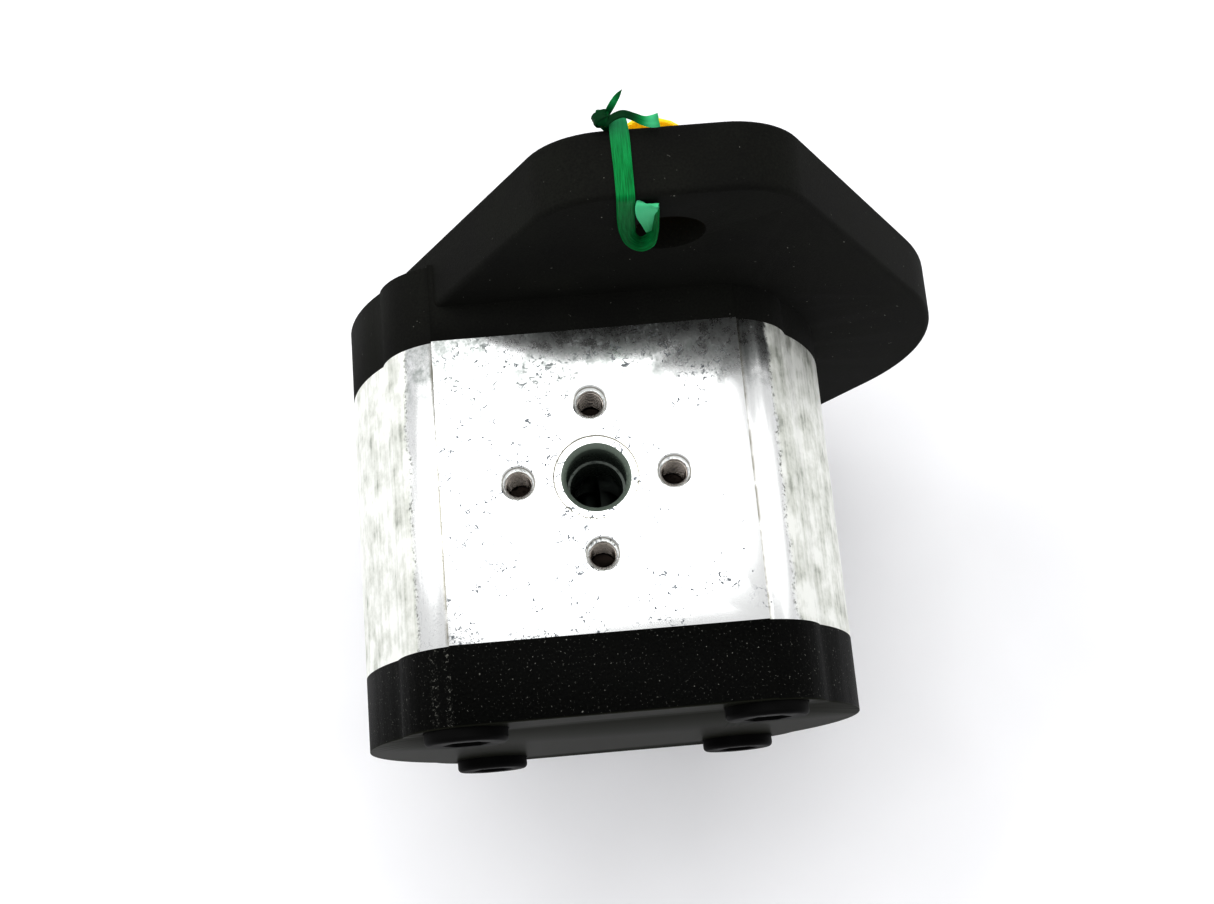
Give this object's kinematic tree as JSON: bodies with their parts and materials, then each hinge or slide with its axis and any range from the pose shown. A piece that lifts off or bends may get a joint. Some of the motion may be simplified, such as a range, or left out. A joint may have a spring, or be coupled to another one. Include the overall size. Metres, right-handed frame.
{
  "type": "hydraulic gear pump",
  "caption": "External gear pump: extruded housing with bolted port pads, cast rear cover, two-bolt mounting flange with round pilot and a keyed drive shaft.",
  "frame": {"origin": "drive shaft axis at the flange's mounting face, where the pilot starts", "axes": "+Y along the drive shaft towards its driven end, +X away from the driven gear, +Z out of the outlet port"},
  "size_m": [0.1285, 0.1385, 0.1892],
  "materials": {
    "extruded_aluminium": "satin, machined pads",
    "black_cast_iron": "matte black phosphate",
    "ground_steel": "ground",
    "bearing_aluminium": "satin",
    "bush_bronze": "satin",
    "seal_rubber": "matte",
    "ring_plastic": "matte",
    "spring_steel": "blackened",
    "black_steel": "black oxide",
    "green_plastic": "satin film",
    "yellow_card": "matte"
  },
  "bodies": {
    "casing": {"gear_housing": "extruded_aluminium", "mounting_flange": "black_cast_iron", "rear_cover": "black_cast_iron", "front_bearing_block": "bearing_aluminium", "rear_bearing_block": "bearing_aluminium", "front_drive_bush": "bush_bronze", "front_driven_bush": "bush_bronze", "rear_drive_bush": "bush_bronze", "rear_driven_bush": "bush_bronze", "front_pressure_seal": "seal_rubber", "rear_pressure_seal": "seal_rubber", "front_backup_ring": "ring_plastic", "rear_backup_ring": "ring_plastic", "front_body_seal": "seal_rubber", "rear_body_seal": "seal_rubber", "shaft_seal": "seal_rubber", "shaft_seal_spring": "ground_steel", "seal_retaining_ring": "spring_steel", "front_dowel_pins": "ground_steel", "rear_dowel_pins": "ground_steel", "cover_screws": "black_steel", "tie_ribbon": "green_plastic", "ribbon_knot": "green_plastic", "name_tag": "yellow_card"},
    "drive_shaft": {"drive_gear_shaft": "ground_steel", "shaft_key": "ground_steel"},
    "driven_shaft": {"driven_gear_shaft": "ground_steel"}
  },
  "joints": [
    {"name": "drive_spin", "type": "hinge", "parent": "casing", "child": "drive_shaft", "pos_m": [0, -0.05, 0], "axis": [0, 1, 0], "continuous": true},
    {"name": "driven_spin", "type": "hinge", "parent": "casing", "child": "driven_shaft", "pos_m": [-0.032, -0.05, 0], "axis": [0, 1, 0], "continuous": true}
  ],
  "couplings": [
    {"joint": "driven_spin", "follows": "drive_spin", "ratio": -1}
  ]
}
